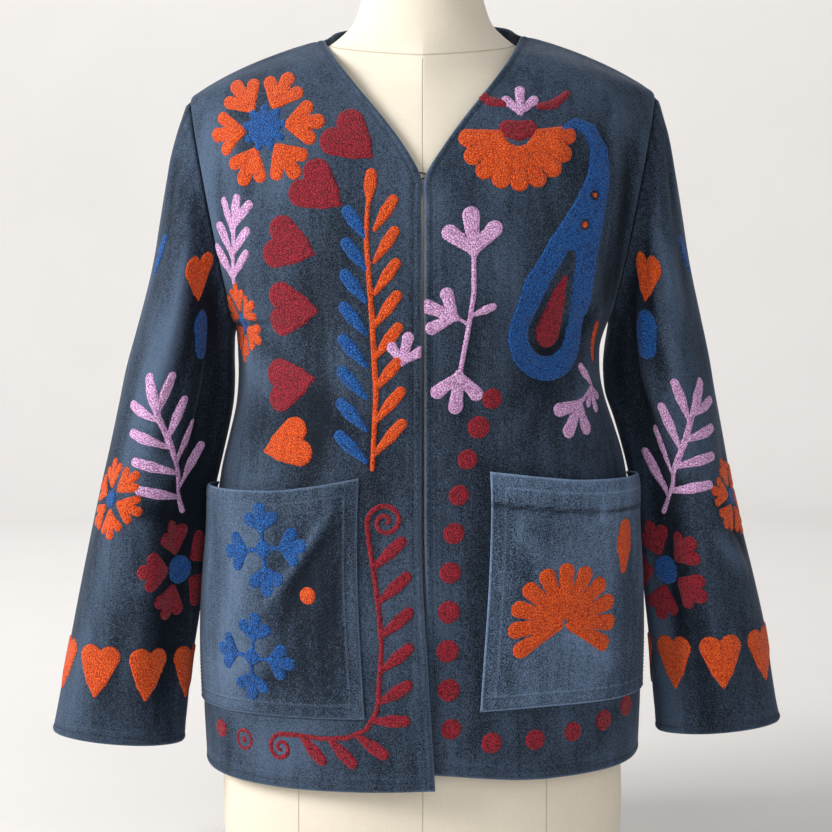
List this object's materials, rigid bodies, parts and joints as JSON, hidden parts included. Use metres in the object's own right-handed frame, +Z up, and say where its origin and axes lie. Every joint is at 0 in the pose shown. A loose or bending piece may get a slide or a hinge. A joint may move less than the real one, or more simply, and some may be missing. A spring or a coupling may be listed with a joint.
{
  "type": "velvet jacket on a dress form",
  "caption": "Open-front collarless velvet jacket with long set-in sleeves and patch pockets, worn on a limbless dress form.",
  "frame": {"origin": "on the floor plane, under the middle of the dress form's flat base", "axes": "+Z up, -Y out of the jacket's front, +X toward the wearer's left"},
  "size_m": [0.6305, 0.2355, 0.806],
  "materials": {
    "velvet": "matte",
    "pocket_velvet": "matte",
    "linen": "matte"
  },
  "bodies": {
    "root": {"front_right": "velvet", "front_left": "velvet", "back": "velvet", "sleeve_right": "velvet", "sleeve_left": "velvet", "pocket_right": "pocket_velvet", "pocket_left": "pocket_velvet", "dress_form": "linen"}
  },
  "joints": []
}
